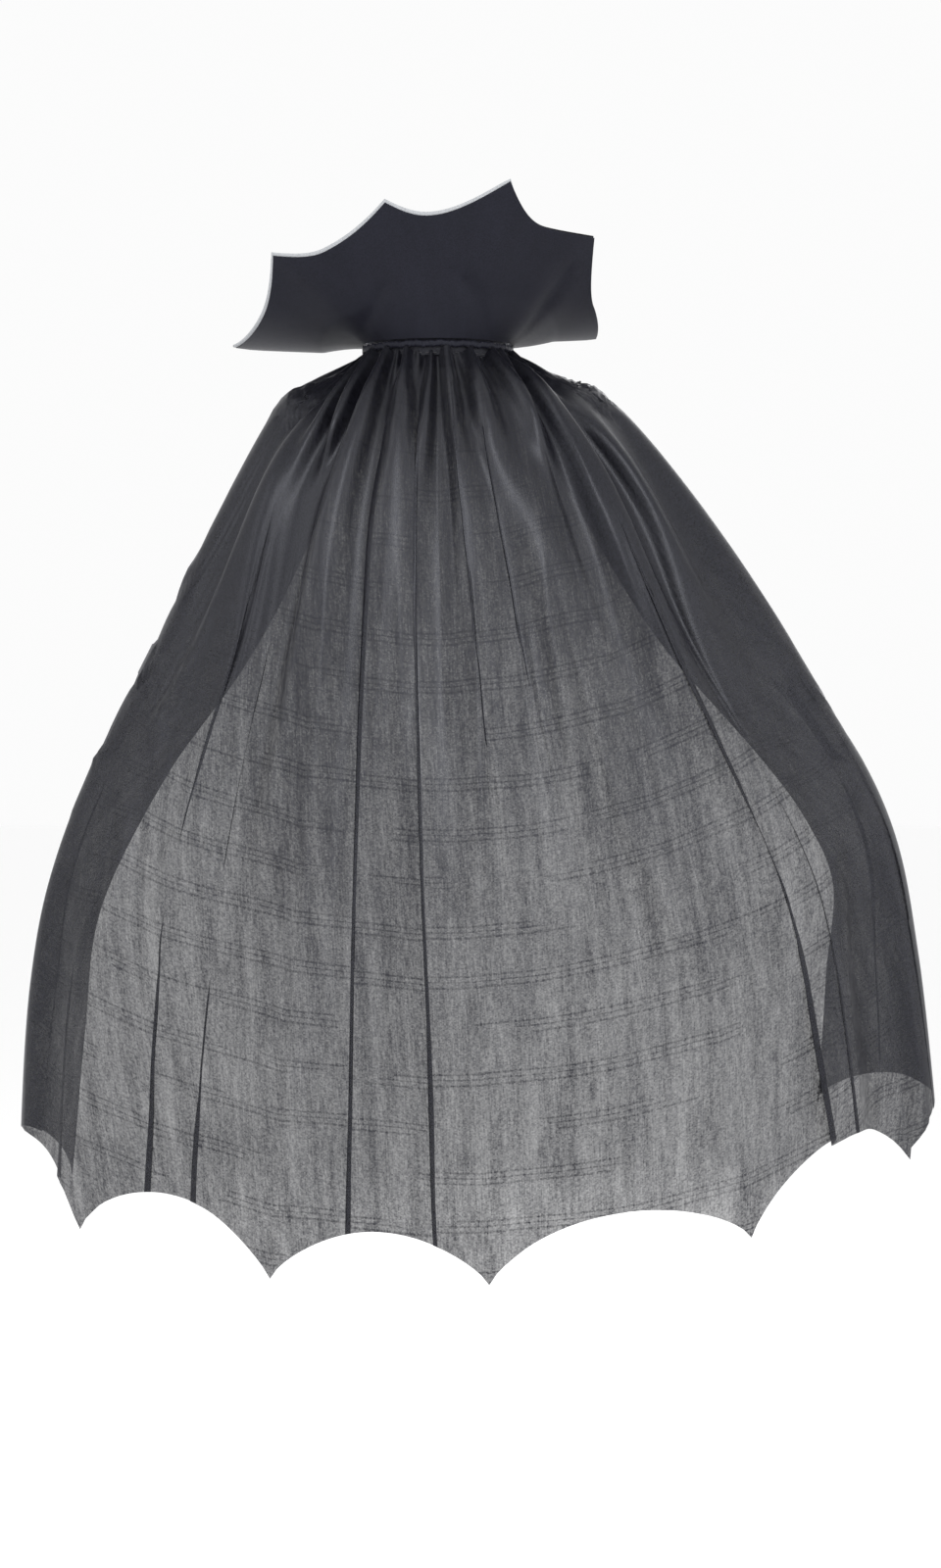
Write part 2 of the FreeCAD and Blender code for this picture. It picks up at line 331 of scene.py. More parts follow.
# ---- camera, light and stage ------------------------------------------------------------
def make_camera():
    data = bpy.data.cameras.new("camera")
    data.sensor_fit = "VERTICAL"
    data.sensor_height = 24.0
    data.lens = data.sensor_height * VIEW_DISTANCE / VIEW_HEIGHT
    camera = bpy.data.objects.new("camera", data)
    camera.location = (VIEW_CENTRE[0], -VIEW_DISTANCE, VIEW_CENTRE[1])
    camera.rotation_euler = (math.radians(90), 0, 0)
    bpy.context.scene.collection.objects.link(camera)
    bpy.context.scene.camera = camera


def area_light(name, place, target, size, power):
    data = bpy.data.lights.new(name, "AREA")
    data.size = size
    data.energy = power
    light = bpy.data.objects.new(name, data)
    light.location = place
    aim = Vector(target) - Vector(place)
    light.rotation_euler = aim.to_track_quat("-Z", "Y").to_euler()
    bpy.context.scene.collection.objects.link(light)


def make_lights():
    middle = (0.03, 0, -0.35)
    area_light("key", (0.25, -3.3, 0.75), middle, 0.8, 32)
    area_light("side", (-2.4, -1.8, 0.9), middle, 1.4, 14)
    area_light("fill", (2.4, -1.6, 0.2), middle, 2.0, 14)
    area_light("top", (0.0, 0.3, 2.4), middle, 1.4, 22)
    area_light("rim", (0.6, 2.6, 0.8), middle, 2.0, 18)
    world = bpy.data.worlds.new("studio")
    world.use_nodes = True
    background = world.node_tree.nodes["Background"]
    background.inputs["Color"].default_value = (1, 1, 1, 1)
    background.inputs["Strength"].default_value = 0.97
    bpy.context.scene.world = world


def make_stage():
    size = 60.0
    floor = mesh_object(
        "floor",
        [(-size, -size, FLOOR_Z), (size, -size, FLOOR_Z), (size, size, FLOOR_Z),
         (-size, size, FLOOR_Z)],
        [(0, 1, 2, 3)],
        smooth=False,
    )
    material = bpy.data.materials.new("pale_floor")
    material.use_nodes = True
    shader = material.node_tree.nodes["Principled BSDF"]
    shader.inputs["Base Color"].default_value = (0.985, 0.985, 0.985, 1)
    shader.inputs["Roughness"].default_value = 0.9
    floor.data.materials.append(material)


# ---- materials ----------------------------------------------------------------------------
class Nodes:
    """Short calls for building a node tree."""

    def __init__(self, name):
        self.material = bpy.data.materials.new(name)
        self.material.use_nodes = True
        self.tree = self.material.node_tree
        self.shader = self.tree.nodes["Principled BSDF"]
        self.output = self.tree.nodes["Material Output"]

    def new(self, kind, **inputs):
        node = self.tree.nodes.new(kind)
        for key, value in inputs.items():
            self.put(node, key.replace("_", " "), value)
        return node

    def put(self, node, socket, value):
        if isinstance(socket, str) and socket.isdigit():
            socket = int(socket)
        target = node.inputs[socket]
        if isinstance(value, bpy.types.NodeSocket):
            self.tree.links.new(value, target)
        else:
            target.default_value = value

    def math(self, operation, a, b=0.5, clamp=False):
        node = self.tree.nodes.new("ShaderNodeMath")
        node.operation = operation
        node.use_clamp = clamp
        self.put(node, 0, a)
        self.put(node, 1, b)
        return node.outputs[0]

    def ramp(self, value, stops):
        node = self.tree.nodes.new("ShaderNodeValToRGB")
        self.put(node, "Fac", value)
        elements = node.color_ramp.elements
        while len(elements) < len(stops):
            elements.new(0.5)
        for element, (at, colour) in zip(elements, stops):
            element.position = at
            element.color = colour if len(colour) == 4 else (*colour, 1)
        return node.outputs["Color"]

    def noise(self, vector, scale, detail=3.0, rough=0.5):
        node = self.tree.nodes.new("ShaderNodeTexNoise")
        self.put(node, "Vector", vector)
        node.inputs["Scale"].default_value = scale
        node.inputs["Detail"].default_value = detail
        node.inputs["Roughness"].default_value = rough
        return node.outputs["Fac"]

    def scaled(self, vector, factors):
        node = self.tree.nodes.new("ShaderNodeMapping")
        self.put(node, "Vector", vector)
        node.inputs["Scale"].default_value = factors
        return node.outputs["Vector"]

    def bump(self, height, strength, distance):
        node = self.tree.nodes.new("ShaderNodeBump")
        self.put(node, "Height", height)
        node.inputs["Strength"].default_value = strength
        node.inputs["Distance"].default_value = distance
        return node.outputs["Normal"]

    def uv(self, name):
        node = self.tree.nodes.new("ShaderNodeUVMap")
        node.uv_map = name
        return node.outputs["UV"]

    def object_coords(self):
        return self.tree.nodes.new("ShaderNodeTexCoord").outputs["Object"]

    def speckle(self, vector, cell):
        """A random level for each small cell of the weave."""
        snap = self.tree.nodes.new("ShaderNodeVectorMath")
        snap.operation = "SNAP"
        self.put(snap, 0, vector)
        snap.inputs[1].default_value = cell
        node = self.tree.nodes.new("ShaderNodeTexWhiteNoise")
        node.noise_dimensions = "2D"
        self.put(node, "Vector", snap.outputs[0])
        return node.outputs["Value"]

    def shifted(self, level, pattern, amount):
        """level raised and lowered by a pattern that runs from 0 to 1."""
        return self.math("ADD", level, self.math("MULTIPLY", self.math("SUBTRACT", pattern, 0.5), amount))

    def threads(self, vector, pitch, axis):
        """A wave across the threads: 0 between two threads and 1 on top of one."""
        node = self.tree.nodes.new("ShaderNodeTexWave")
        node.bands_direction = axis
        self.put(node, "Vector", vector)
        node.inputs["Scale"].default_value = 1.0 / pitch / 3.1416
        node.inputs["Distortion"].default_value = 0.4
        node.inputs["Detail"].default_value = 1.0
        return node.outputs["Fac"]


def sheer_satin():
    """Thin black satin that light passes through, with weft lines across it."""
    n = Nodes("sheer_satin")
    flat = n.uv("flat")
    split = n.new("ShaderNodeSeparateXYZ", Vector=flat)
    down = split.outputs[1]

    cloudy = n.noise(n.scaled(flat, (8, 8, 1)), 1.0, 4.0, 0.6)
    slubs = n.noise(n.scaled(flat, (760, 60, 1)), 1.0, 2.0, 0.6)
    creases = n.noise(n.scaled(flat, (75, 8, 1)), 1.0, 4.0, 0.65)
    grain = n.speckle(flat, (0.0013, 0.0011, 1))
    coarse = n.speckle(flat, (0.0019, 0.0016, 1))
    texture = n.math("ADD", n.math("MULTIPLY", grain, 0.65), n.math("MULTIPLY", coarse, 0.35))

    # Groups of three thicker weft threads, about every 42 mm.
    wander = n.math("MULTIPLY", n.noise(n.scaled(flat, (3.0, 5.0, 1)), 1.0, 2.0), 0.014)
    place = n.math("ADD", down, wander)
    group = n.math("FRACT", n.math("DIVIDE", place, 0.042), 0)
    lines = None
    for at, width in ((0.30, 0.020), (0.41, 0.015), (0.53, 0.022)):
        away = n.math("ABSOLUTE", n.math("SUBTRACT", group, at), 0)
        line = n.math("LESS_THAN", away, width)
        lines = line if lines is None else n.math("MAXIMUM", lines, line)
    fade = n.math("GREATER_THAN", n.noise(n.scaled(flat, (6, 24, 1)), 1.0, 1.0), 0.44)
    lines = n.math("MULTIPLY", lines, fade)

    single = n.math("MULTIPLY_ADD", cloudy, 0.12)
    single.node.inputs[2].default_value = 0.725
    single = n.shifted(single, texture, 0.22)
    single = n.shifted(single, slubs, 0.30)
    single = n.shifted(single, creases, 0.42)
    single = n.math("ADD", single, n.math("MULTIPLY", lines, 0.075), clamp=True)
    # Gathered cloth is denser than a single layer.
    gather = n.tree.nodes.new("ShaderNodeAttribute")
    gather.attribute_name = "gather"
    through = n.math("POWER", n.math("SUBTRACT", 1.0, single), gather.outputs["Fac"])
    opacity = n.math("SUBTRACT", 1.0, through, clamp=True)

    tone = n.ramp(texture, [(0.2, (0.003, 0.003, 0.0045)), (0.8, (0.010, 0.010, 0.0145))])
    n.put(n.shader, "Base Color", tone)
    n.shader.inputs["Roughness"].default_value = 0.36
    n.shader.inputs["Specular IOR Level"].default_value = 0.36
    n.shader.inputs["Specular Tint"].default_value = (0.90, 0.92, 1.0, 1)
    n.shader.inputs["Anisotropic"].default_value = 0.5
    n.shader.inputs["Sheen Weight"].default_value = 0.05
    n.shader.inputs["Sheen Roughness"].default_value = 0.35
    n.shader.inputs["Sheen Tint"].default_value = (0.72, 0.74, 0.88, 1)
    weave = n.math("ADD", slubs, texture)
    n.put(n.shader, "Normal", n.bump(weave, 0.22, 0.0003))

    clear = n.new("ShaderNodeBsdfTransparent")
    mix = n.tree.nodes.new("ShaderNodeMixShader")
    n.put(mix, 0, opacity)
    n.put(mix, 1, clear.outputs[0])
    n.put(mix, 2, n.shader.outputs[0])
    n.put(n.output, "Surface", mix.outputs[0])
    return n.material


def woven(name, dark, light, pitch=0.0009, rough=0.62, sheen=0.10, specular=0.25, depth=0.35):
    """A woven cloth with crossing threads, a little uneven in tone."""
    n = Nodes(name)
    flat = n.uv("flat")
    warp = n.threads(flat, pitch, "X")
    weft = n.threads(flat, pitch * 0.8, "Y")
    grain = n.speckle(flat, (pitch, pitch * 0.8, 1))
    weave = n.math("MULTIPLY", n.math("ADD", warp, weft), 0.5)
    broad = n.noise(n.scaled(flat, (45, 14, 1)), 1.0, 3.0, 0.6)
    tone = n.math("ADD", n.math("MULTIPLY", weave, 0.28), n.math("MULTIPLY", grain, 0.34))
    tone = n.math("ADD", tone, n.math("MULTIPLY", broad, 0.38))
    n.put(n.shader, "Base Color", n.ramp(tone, [(0.2, dark), (0.8, light)]))
    n.shader.inputs["Roughness"].default_value = rough
    n.shader.inputs["Specular IOR Level"].default_value = specular
    n.shader.inputs["Specular Tint"].default_value = (0.82, 0.85, 1.0, 1)
    n.shader.inputs["Sheen Weight"].default_value = sheen
    n.shader.inputs["Sheen Roughness"].default_value = 0.4
    n.shader.inputs["Sheen Tint"].default_value = (0.74, 0.77, 0.95, 1)
    height = n.math("ADD", weave, n.math("MULTIPLY", grain, 0.5))
    n.put(n.shader, "Normal", n.bump(height, depth, 0.00025))
    return n.material


def pile(name, dark, light, scale, depth):
    """The fuzzy loops, or the small stiff hooks, of fastening tape."""
    n = Nodes(name)
    cells = n.tree.nodes.new("ShaderNodeTexVoronoi")
    n.put(cells, "Vector", n.uv("flat"))
    cells.inputs["Scale"].default_value = scale
    n.put(n.shader, "Base Color", n.ramp(cells.outputs["Distance"], [(0.0, light), (0.6, dark)]))
    n.shader.inputs["Roughness"].default_value = 0.6
    n.shader.inputs["Sheen Weight"].default_value = 0.2
    n.put(n.shader, "Normal", n.bump(cells.outputs["Distance"], 0.8, depth))
    return n.material


def foam():
    """Light grey foam with small cells."""
    n = Nodes("collar_foam")
    place = n.object_coords()
    cells = n.tree.nodes.new("ShaderNodeTexVoronoi")
    n.put(cells, "Vector", place)
    cells.inputs["Scale"].default_value = 1400
    shade = n.ramp(cells.outputs["Distance"], [(0.0, (0.20, 0.21, 0.22)), (0.6, (0.42, 0.43, 0.45))])
    n.put(n.shader, "Base Color", shade)
    n.shader.inputs["Roughness"].default_value = 0.85
    n.put(n.shader, "Normal", n.bump(cells.outputs["Distance"], 0.5, 0.0004))
    return n.material


def thread():
    """Twisted polyester thread."""
    n = Nodes("thread")
    ply = n.threads(n.object_coords(), 0.0006, "DIAGONAL")
    shade = n.ramp(ply, [(0.2, (0.012, 0.012, 0.015)), (0.8, (0.05, 0.05, 0.058))])
    n.put(n.shader, "Base Color", shade)
    n.shader.inputs["Roughness"].default_value = 0.42
    n.put(n.shader, "Normal", n.bump(ply, 0.6, 0.0002))
    return n.material


# ---- cape panel -----------------------------------------------------------------------------
def scallop(u):
    """How far the hem is cut away at u: 0 at each hem point, 1 halfway between two."""
    across = (u + 1) * SCALLOPS / 2
    f = across - np.floor(across)
    return (4 * f * (1 - f)) ** 0.8


def drape(us, vs):
    """The smooth hanging shape, as an array of rows x columns x 3."""
    knots = [rib[0] for rib in PANEL_RIBS]
    levels = np.array([rib[1] for rib in PANEL_RIBS], float) * MM
    out = np.zeros((len(vs), len(us), 3))
    for c, u in enumerate(us):
        top = np.array(ring_point(u * SEWN_END, PANEL_TOP_R, PANEL_TOP_Z))
        path = np.vstack([top, hermite(knots, levels, u)])
        span = np.linalg.norm(path[-1] - path[-3])
        reach = 2.0 / (len(path) - 1)
        kept = 1.0 - reach * SCALLOP_DEPTH * scallop(u) / span
        out[:, c] = catmull(path, vs * kept)
    return out


def flat_pattern(us, smooth):
    """Where each point of the panel lies before it is gathered: (across, down)."""
    steps = np.linalg.norm(np.diff(smooth, axis=0), axis=2)
    down = np.vstack([np.zeros(len(us)), np.cumsum(steps, axis=0)])
    width = FLAT_TOP + (FLAT_HEM - FLAT_TOP) * down / FLAT_LENGTH
    front = FRONT_TOP + (FRONT_HEM - FRONT_TOP) * smoothstep(down / FRONT_CURVE)
    inside = np.minimum(abs(us), ARM_AT) / ARM_AT * width / 2
    outside = np.maximum(abs(us) - ARM_AT, 0) / (1 - ARM_AT) * front
    return np.dstack([np.sign(us) * (inside + outside), down])


def grid_normals(grid):
    down = np.gradient(grid, axis=0)
    along = np.gradient(grid, axis=1)
    n = np.cross(down, along)
    return n / np.maximum(np.linalg.norm(n, axis=2, keepdims=True), 1e-9)


def strip_widths(grid):
    """Width of each strip between two columns, square to the way the cloth hangs."""
    across = np.diff(grid, axis=1)
    down = np.gradient(grid, axis=0)
    down = (down[:, 1:] + down[:, :-1]) / 2
    area = np.linalg.norm(np.cross(across, down), axis=2)
    return area / np.maximum(np.linalg.norm(down, axis=2), 1e-9)


def laid_out(flat):
    """The flat pattern as points in space."""
    return np.dstack([flat[:, :, 0], np.zeros(flat.shape[:2]), -flat[:, :, 1]])


def slack(grid, flat):
    """Spare width of the cloth over a shape, as a share, at each point."""
    share = strip_widths(laid_out(flat)) / np.maximum(strip_widths(grid), 1e-6) - 1
    share = np.pad(share, ((0, 0), (1, 1)), mode="edge")
    return np.maximum((share[:, 1:] + share[:, :-1]) / 2, 0.0)


def spread_columns():
    """Places across the panel, closer together at the pleats, with one at every hem point."""
    fine = np.linspace(-1, 1, 6001)
    density = np.ones(len(fine))
    for place, _, _, lean in PLEATS:
        density += 2.4 * np.exp(-(((fine - place - lean * 0.7) / 0.022) ** 2))
    total = np.concatenate([[0], np.cumsum((density[1:] + density[:-1]) / 2)])
    columns = [-1.0]
    for i in range(SCALLOPS):
        low = -1 + 2 * i / SCALLOPS
        high = low + 2 / SCALLOPS
        ends = np.interp([low, high], fine, total)
        inside = np.interp(np.linspace(*ends, COLUMNS_PER_SCALLOP + 1)[1:-1], total, fine)
        columns += [*inside, high]
    return np.array(columns)


def lay_pleats(row, x, along, u, v):
    """One row of the shape laid again, so that its spare width stands in the pleats.

    x and along run over the same row: across the flat cloth and across the shape.
    """
    placed = along.copy()
    lift = np.zeros(len(u))
    left = np.ones(len(u))
    knots = [rib[0] for rib in PANEL_RIBS]
    for low, high in zip(knots, knots[1:]):
        i = int(np.argmin(abs(u - low)))
        j = int(np.argmin(abs(u - high)))
        room = along[j] - along[i]
        spare = max(x[j] - x[i] - room, 0.0)
        middle = (x[i:j] + x[i + 1:j + 1]) / 2
        rate = np.ones(j - i)
        for place, share, top, lean in PLEATS:
            taken = spare * share * smoothstep((v - top) / 0.25)
            if not low <= place < high or taken < 0.001:
                continue
            centre = np.interp(place + lean * v, u, x)
            left[i:j + 1] -= share * smoothstep((v - top) / 0.25)
            rate -= 2 * smoothstep((taken * 0.34 - abs(middle - centre)) / (taken * 0.18))
            side = x - centre
            size = PLEAT_GAP * smoothstep(taken / 0.012)
            lift += size * smoothstep(side / taken + 0.5) * np.exp(-np.maximum(side, 0) / 0.03)
        travel = np.concatenate([[0], np.cumsum(rate * np.diff(x[i:j + 1]))])
        placed[i:j + 1] = along[i] + travel * room / travel[-1]
    laid = np.stack([np.interp(placed, along, row[:, k]) for k in range(3)], axis=1)
    return laid, lift, np.maximum(left, 0.1)


def pleated(grid, flat, us, vs):
    """The hanging shape with its spare width taken up in pleats and soft gathers."""
    zero = np.zeros((len(vs), 1))
    x = np.hstack([zero, np.cumsum(strip_widths(laid_out(flat)), axis=1)])
    along = np.hstack([zero, np.cumsum(strip_widths(grid), axis=1)])
    laid = np.zeros_like(grid)
    size = np.zeros(grid.shape[:2])
    left = np.zeros(grid.shape[:2])
    for r, v in enumerate(vs):
        laid[r], size[r], left[r] = lay_pleats(grid[r], x[r], along[r], us, v)
    deep = np.sqrt((1 + np.clip(slack(grid, flat), 0, 2) * left * GATHER_TAKE) ** 2 - 1)
    u = us[None, :]
    v = vs[:, None]
    weights = [np.exp(-(((v - middle) / span) ** 2)) for _, middle, span in GATHERS]
    total = np.sqrt(sum(weight ** 2 for weight in weights))
    # The gathers flatten over the arms, where the cloth is pulled tight.
    calm = 1 - 0.8 * smoothstep((abs(u) - 0.58) / 0.16) * smoothstep(v / 0.12)
    rng = np.random.default_rng(SEED)
    for (count, _, _), weight in zip(GATHERS, weights):
        phase = rng.uniform(0, 2 * math.pi, 4)
        wobble = 1.3 * np.sin(5.3 * u + phase[0]) + 0.8 * np.sin(13.0 * u + 2.5 * v + phase[1])
        uneven = 1 + 0.25 * np.sin(9.7 * u + phase[2])
        wave = np.sin(np.pi * count * (u + 1) + wobble + phase[3])
        length = along[:, -1:] / count
        size = size + length / 4 * deep * weight / total * uneven * wave * calm
    for _ in range(22):
        across = rng.uniform(3, 16)
        down = rng.uniform(0.5, 5)
        phase = rng.uniform(0, 2 * math.pi)
        size = size + 0.0010 * np.sin(across * u * 3.1 + down * v * 3.1 + phase)
    size = GATHER_DEPTH * np.tanh(size / GATHER_DEPTH)
    return laid + grid_normals(grid) * size[:, :, None]


def gather_share(grid, flat, vs):
    """How dense each point looks, in layers: its gathers, and a given amount near the neck."""
    near_neck = np.exp(-((vs[:, None] / NECK_DENSITY_FADE) ** 2))
    spare = np.clip(slack(grid, flat), 0, 2.2)
    return 1 + SLACK_DENSITY * spare + NECK_DENSITY * near_neck


# ---- draping ------------------------------------------------------------------------------
# The form that the cape hangs on: limbs as (start, end, radius at each).
LIMBS = [
    ((-0.050, 0.0, -0.046), (-0.112, 0.0, -0.070), 0.030, 0.033),
    ((-0.112, 0.0, -0.072), (-0.300, 0.004, -0.450), 0.032, 0.014),
    ((0.050, 0.0, -0.044), (0.120, 0.0, -0.066), 0.030, 0.033),
    ((0.120, 0.0, -0.068), (0.358, 0.004, -0.416), 0.032, 0.014),
]
TRUNK_HALF = (0.118, 0.072, 0.30)
TRUNK_CENTRE = (0.004, 0.0, -0.345)
SIM_FRAMES = 30
SIM_GRAVITY = 0.4
FORM_GAP = 0.003
# Pinned points, as how far down the panel and within what reach across and down it.
HAND_DOWN = 0.56
HAND_REACH = (0.035, 0.020)
EDGE_FROM = 0.985
EDGE_DOWN = 0.60
EDGE_REACH = 0.015
# How strongly the cloth is pulled back towards its starting shape, from 0 to 1: everywhere,
# at the hem points, over the arms, along the pleats, and near the neck.
GOAL = 0.06
TIP_GOAL = 0.35
RIDGE_GOAL = 0.85
PLEAT_GOAL = 0.25
NECK_GOAL = 0.75
RIDGE_WIDTH = 0.15
NECK_FROM = 0.16
NECK_OVER = 0.30


def form_parts():
    """The shape that holds the cape up while it is draped. It is removed afterwards."""
    parts = []
    for start, end, wide, narrow in LIMBS:
        a = Vector(start)
        b = Vector(end)
        mesh = bmesh.new()
        bmesh.ops.create_uvsphere(mesh, u_segments=24, v_segments=16, radius=1.0)
        turn = (a - b).to_track_quat("Z", "Y").to_matrix()
        for vert in mesh.verts:
            first = vert.co.z > 0
            vert.co = turn @ (vert.co * (wide if first else narrow)) + (a if first else b)
        parts.append(mesh)
    trunk = bmesh.new()
    bmesh.ops.create_uvsphere(trunk, u_segments=32, v_segments=24, radius=1.0)
    for vert in trunk.verts:
        vert.co = Vector(c * h + o for c, h, o in zip(vert.co, TRUNK_HALF, TRUNK_CENTRE))
    parts.append(trunk)
    objects = []
    for i, mesh in enumerate(parts):
        data = bpy.data.meshes.new("form")
        mesh.to_mesh(data)
        mesh.free()
        obj = bpy.data.objects.new(f"form_{i}", data)
        bpy.context.scene.collection.objects.link(obj)
        obj.modifiers.new("collision", "COLLISION")
        obj.collision.thickness_outer = FORM_GAP
        obj.collision.cloth_friction = 8
        objects.append(obj)
    return objects


def drape_cloth(obj, flat, us, vs):
    """Lets the cloth settle, pinned at the neck, the hands and a point on each front edge.

    The rest is pulled back towards its starting shape, most over the arms and near the neck.
    """
    held = obj.vertex_groups.new(name="held")
    columns = len(us)
    for r, v in enumerate(vs):
        for c, u in enumerate(us):
            from_arm = abs(abs(u) - ARM_AT)
            hand = from_arm < HAND_REACH[0] and abs(v - HAND_DOWN) < HAND_REACH[1]
            edge = abs(u) > EDGE_FROM and abs(v - EDGE_DOWN) < EDGE_REACH
            tip = (1 - scallop(u)) ** 2 * max(0.0, v - 0.55) / 0.45
            ridge = max(0.0, 1 - from_arm / RIDGE_WIDTH) * min(1.0, v / 0.15)
            pleat = max(np.exp(-(((u - p[0]) / 0.03) ** 2)) for p in PLEATS)
            pleat = pleat * smoothstep((v - 0.3) / 0.4)
            soft = GOAL + (TIP_GOAL - GOAL) * tip
            near_neck = 1 - smoothstep((v - NECK_FROM) / NECK_OVER)
            soft = max(soft, RIDGE_GOAL * ridge, PLEAT_GOAL * pleat, NECK_GOAL * near_neck)
            weight = 1.0 if r < 2 or hand or edge else soft
            held.add([r * columns + c], weight, "REPLACE")
    obj.shape_key_add(name="Basis")
    rest = obj.shape_key_add(name="rest")
    rest.data.foreach_set("co", laid_out(flat).reshape(-1, 3).ravel())
    cloth = obj.modifiers.new("cloth", "CLOTH")
    settings = cloth.settings
    settings.quality = 6
    settings.mass = 0.12
    settings.air_damping = 2.0
    settings.tension_stiffness = 12
    settings.compression_stiffness = 12
    settings.shear_stiffness = 4
    settings.bending_stiffness = 0.06
    settings.tension_damping = 6
    settings.compression_damping = 6
    settings.shear_damping = 6
    settings.vertex_group_mass = "held"
    settings.pin_stiffness = 1.0
    settings.rest_shape_key = rest
    settings.effector_weights.gravity = SIM_GRAVITY
    cloth.collision_settings.collision_quality = 2
    cloth.collision_settings.distance_min = FORM_GAP
    cloth.collision_settings.use_self_collision = False
    scene = bpy.context.scene
    scene.frame_start = 1
    scene.frame_end = SIM_FRAMES
    cloth.point_cache.frame_start = 1
    cloth.point_cache.frame_end = SIM_FRAMES
    for f in range(1, SIM_FRAMES + 1):
        scene.frame_set(f)
    graph = bpy.context.evaluated_depsgraph_get()
    done = obj.evaluated_get(graph).to_mesh()
    places = np.zeros(len(done.vertices) * 3)
    done.vertices.foreach_get("co", places)
    obj.modifiers.clear()
    obj.shape_key_clear()
    obj.data.vertices.foreach_set("co", places)
    obj.data.update()
    scene.frame_set(1)


def cape_cloth(satin):
    """The sheer panel, gathered on the neck and draped."""
    us = spread_columns()
    vs = np.linspace(0, 1, ROWS + 1)
    smooth = drape(us, vs)
    flat = flat_pattern(us, smooth)
    grid = pleated(smooth, flat, us, vs)
    obj = grid_object("cape_cloth", grid, flat, satin, "cape", "sheer_satin", "cape_panel")
    layers = obj.data.attributes.new("gather", "FLOAT", "POINT")
    layers.data.foreach_set("value", gather_share(smooth, flat, vs).ravel())
    form = form_parts()
    drape_cloth(obj, flat, us, vs)
    for part in form:
        bpy.data.objects.remove(part)
    return obj


# ---- collar ---------------------------------------------------------------------------------
def collar_edge():
    """Angles and lengths along the collar's free edge, from front end to front end."""
    steps = np.arange(1, COLLAR_COLUMNS + 1) / COLLAR_COLUMNS
    edge = [COLLAR_VALLEYS[0]]
    for i, (tip, length, _) in enumerate(COLLAR_TIPS):
        valley, depth = COLLAR_VALLEYS[i]
        edge += [(valley + (tip - valley) * f, depth + (length - depth) * f ** 2) for f in steps]
        valley, depth = COLLAR_VALLEYS[i + 1]
        edge += [
            (tip + (valley - tip) * f, length + (depth - length) * (1 - (1 - f) ** 2))
            for f in steps
        ]
    return np.array(edge)


def collar_rise(angles):
    """How steeply the collar stands at each angle, in degrees above level."""
    knots = [-SEWN_END] + [tip[0] for tip in COLLAR_TIPS] + [SEWN_END]
    rises = np.array([COLLAR_END_RISE] + [tip[2] for tip in COLLAR_TIPS] + [COLLAR_END_RISE])
    return np.array([hermite(knots, rises, angle) for angle in angles])


def collar_surface(rows, past=None):
    """Outer surface of the collar, its inward normals and its UVs.

    rows are shares of the length, and past lengthens each column, in metres.
    """
    angles, lengths = collar_edge().T
    reach = lengths if past is None else lengths + past(angles)
    rise = np.radians(collar_rise(angles))[None, :]
    s = rows[:, None] * reach[None, :]
    a = np.radians(angles)[None, :]
    radius = COLLAR_BASE_R + s * np.cos(rise)
    x = radius * np.sin(a)
    y = -radius * np.cos(a)
    z = COLLAR_BASE_Z + s * np.sin(rise) + COLLAR_TILT * x * np.minimum(1, s / 0.040)
    grid = np.dstack([x, y, z])
    inward = grid_normals(grid)
    uv = np.dstack([a * (COLLAR_BASE_R + 0.05) + 0 * s, s])
    grid = grid + inward * crease_depth(angles[None, :], rows[:, None] + 0 * s)[:, :, None]
    return grid, inward, uv


def crease_depth(angle, share):
    """Shallow creases and slow waves of the collar."""
    x = np.radians(angle) * 0.10
    y = share * 0.12
    depth = 0.0006 * np.sin(9 * x / 0.1 + 1) * np.sin(3.1 * share)
    for (a0, s0), (a1, s1), width, size in CREASES:
        start = np.array([math.radians(a0) * 0.10, s0 * 0.12])
        line = np.array([math.radians(a1) * 0.10, s1 * 0.12]) - start
        t = np.clip(((x - start[0]) * line[0] + (y - start[1]) * line[1]) / (line @ line), 0, 1)
        away = np.hypot(x - start[0] - t * line[0], y - start[1] - t * line[1])
        depth = depth + size * np.exp(-((away / width) ** 2)) * np.sin(np.pi * share)
    return depth


def collar_cloth(name, node, start, sign, material):
    """One woven layer of the collar, with its edge turned over towards the foam."""
    rows = np.append(np.linspace(0, 0.985, COLLAR_ROWS), [0.994, 1.0])
    grid, inward, uv = collar_surface(rows)
    grid = grid + inward * start
    turn = [grid[-1] + inward[-1] * sign * d + (grid[-1] - grid[-2]) * k
            for d, k in ((0.0003, 0.35), (0.0007, 0.30))]
    grid = np.concatenate([grid, np.array(turn)])
    uv = np.concatenate([uv, uv[-1:] + [0, 0.0005], uv[-1:] + [0, 0.001]])
    if sign < 0:
        # The lining turns under the foam at the neck.
        under = grid[:1] - inward[:1] * (start - 0.0008)
        grid = np.concatenate([under, grid])
        uv = np.concatenate([uv[:1] - [0, 0.003], uv])
    obj = grid_object(name, grid, uv, material, "cape", "collar_cloth", node)
    return obj


def collar_foam(material):
    """Foam between the layers. Its cut edge shows past them on the wearer's left."""
    def past(angles):
        shown = smoothstep((CORE_PROUD_TO - angles) / 8.0)
        return -0.0008 + (CORE_PROUD + 0.0008) * shown

    rows = np.append(np.linspace(0.03, 0.975, 26), [0.985, 0.991, 0.995, 0.998, 1.0])
    grid, inward, uv = collar_surface(rows, past)
    middle = grid + inward * (FACE_THICK + LAYER_GAP + CORE_THICK / 2)
    return slab("collar_foam", middle, inward, uv, CORE_THICK, 0.0007, material,
                "cape", "foam", "collar_core")


